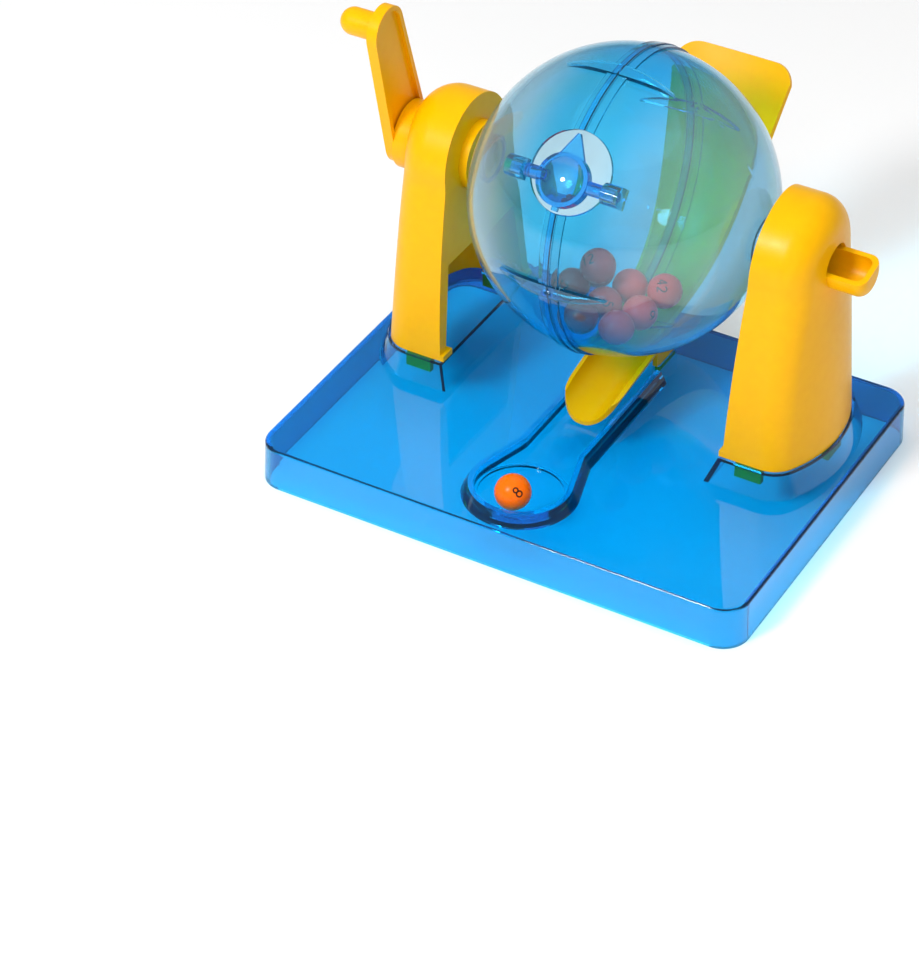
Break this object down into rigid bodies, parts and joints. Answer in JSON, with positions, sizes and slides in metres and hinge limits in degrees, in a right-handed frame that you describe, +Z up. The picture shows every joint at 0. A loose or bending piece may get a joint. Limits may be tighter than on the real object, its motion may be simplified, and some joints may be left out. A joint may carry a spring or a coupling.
{
  "type": "bingo cage",
  "caption": "Hand-cranked clear drum turning between two uprights on a moulded base, with a swinging gate, a ball chute and a channel that catches the drawn ball.",
  "frame": {"origin": "the middle of the base's underside, on the surface it stands on", "axes": "+Z up, +X along the drum's axle away from the crank, -Y to the front, where the drawn ball arrives"},
  "size_m": [0.2195, 0.2048, 0.1693],
  "materials": {
    "clear_blue": "clear tinted moulded polystyrene, polished",
    "clear_blue_drum": "clear tinted moulded polystyrene, polished",
    "clear_blue_gate": "clear tinted moulded polystyrene, polished",
    "yellow": "solid-coloured moulded polystyrene, satin gloss",
    "orange": "solid-coloured moulded plastic, glossy"
  },
  "bodies": {
    "frame": {"base_tray": "clear_blue", "left_upright": "yellow", "right_upright": "yellow", "ball_chute": "yellow", "ball_01": "orange", "ball_02": "orange", "ball_03": "orange", "ball_04": "orange", "ball_05": "orange", "ball_06": "orange", "ball_07": "orange", "ball_08": "orange", "ball_09": "orange"},
    "drum": {"drum_half_left": "clear_blue_drum", "drum_half_right": "clear_blue_drum", "crank_handle": "yellow"},
    "gate": {"gate_cup": "clear_blue_gate"},
    "drawn_ball": {"drawn_ball": "orange"}
  },
  "joints": [
    {"name": "drum_spin", "type": "hinge", "parent": "frame", "child": "drum", "pos_m": [0, 0.0256, 0.1058], "axis": [1, 0, 0], "continuous": true},
    {"name": "gate_swing", "type": "hinge", "parent": "drum", "child": "gate", "pos_m": [0, -0.02342, 0.14197], "axis": [1, 0, 0], "range_deg": [0, 85]},
    {"name": "drawn_ball_roll", "type": "slide", "parent": "frame", "child": "drawn_ball", "axis": [0, 1, 0], "range_m": [0, 0.019]}
  ]
}
